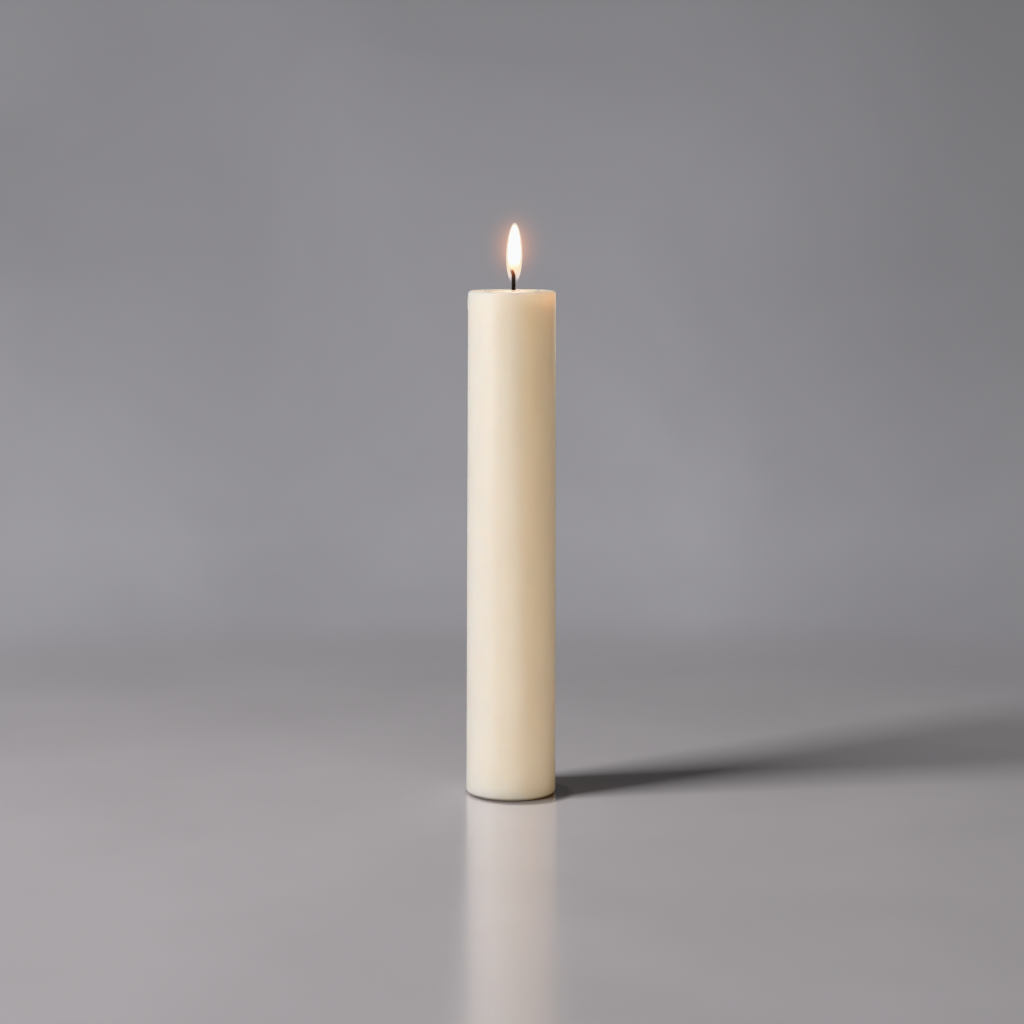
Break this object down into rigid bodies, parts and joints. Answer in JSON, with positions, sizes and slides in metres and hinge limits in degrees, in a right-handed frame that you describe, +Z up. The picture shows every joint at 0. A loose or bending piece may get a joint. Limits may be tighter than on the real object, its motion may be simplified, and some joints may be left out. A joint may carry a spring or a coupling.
{
  "type": "pillar candle",
  "caption": "Slim free-standing pillar candle, moulded in ivory wax, with a cored braided wick, a melt pool and a flame; gives light.",
  "frame": {"origin": "centre of the base, on the surface that the candle stands on", "axes": "+Z up along the candle; +X from the candle's axis towards the wick, which stands a little off centre; -Y faces the viewer"},
  "size_m": [0.051, 0.051, 0.3235],
  "materials": {
    "candle_wax": "translucent ivory wax, satin from the mould",
    "melted_wax": "clear liquid wax, wet gloss",
    "wick_cotton": "braided cotton yarn, soaked in wax",
    "wick_paper": "twisted paper cord",
    "charred_wick": "charred yarn, matt black, brown and glowing at the tip",
    "sustainer_metal": "stamped tinplate, dull silver",
    "flame_glow": null
  },
  "bodies": {
    "root": {"wax_body": "candle_wax", "melt_pool": "melted_wax", "wick_braid": "wick_cotton", "wick_core": "wick_paper", "wick_charred_end": "charred_wick", "wick_sustainer": "sustainer_metal", "flame": "flame_glow"}
  },
  "joints": []
}
